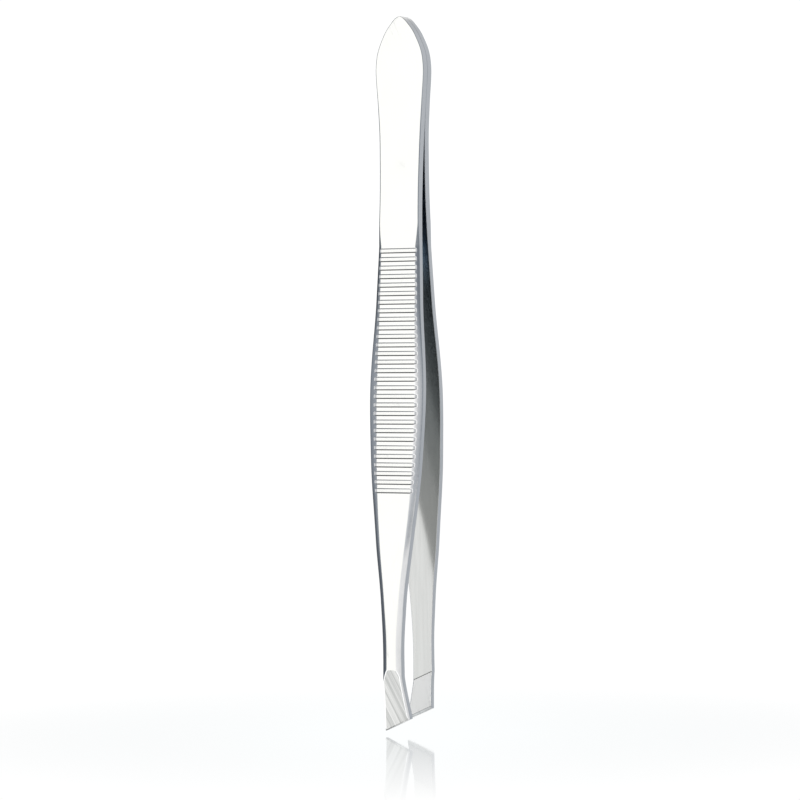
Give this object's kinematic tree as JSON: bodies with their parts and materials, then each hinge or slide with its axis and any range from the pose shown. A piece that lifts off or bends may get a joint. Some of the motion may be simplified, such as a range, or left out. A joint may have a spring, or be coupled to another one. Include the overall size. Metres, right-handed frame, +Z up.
{
  "type": "slant tweezers",
  "caption": "Slant-tip tweezers: ribbed, bevelled spring-steel arms joined at a rounded head and flexing to close on slanted ground jaws.",
  "frame": {"origin": "bottom centre of the bounding box: on the plane between the arms, level with the long corner of the front jaw", "axes": "+Z up along the arms from the slanted tips to the head, +X across the width towards the short side of the jaws, -Y out of the front arm's ribbed face, +Y out of the rear arm's"},
  "size_m": [0.0082, 0.0096, 0.0952],
  "materials": {
    "polished_steel": "bright polished stainless steel with a fine lengthwise grain",
    "weld_steel": "dull fused steel inside the joint"
  },
  "bodies": {
    "head": {"front_arm_head": "polished_steel", "rear_arm_head": "polished_steel", "upper_weld_nugget": "weld_steel", "lower_weld_nugget": "weld_steel"},
    "front_arm": {"front_arm_blade": "polished_steel"},
    "rear_arm": {"rear_arm_blade": "polished_steel"}
  },
  "joints": [
    {"name": "front_arm_flex", "type": "hinge", "parent": "head", "child": "front_arm", "pos_m": [0, -0.00098, 0.0716], "axis": [1, 0, 0], "range_deg": [0, 1.93], "stiffness_Nm_per_rad": 1.2},
    {"name": "rear_arm_flex", "type": "hinge", "parent": "head", "child": "rear_arm", "pos_m": [0, 0.00098, 0.0716], "axis": [-1, 0, 0], "range_deg": [0, 2.1], "stiffness_Nm_per_rad": 1.2}
  ]
}
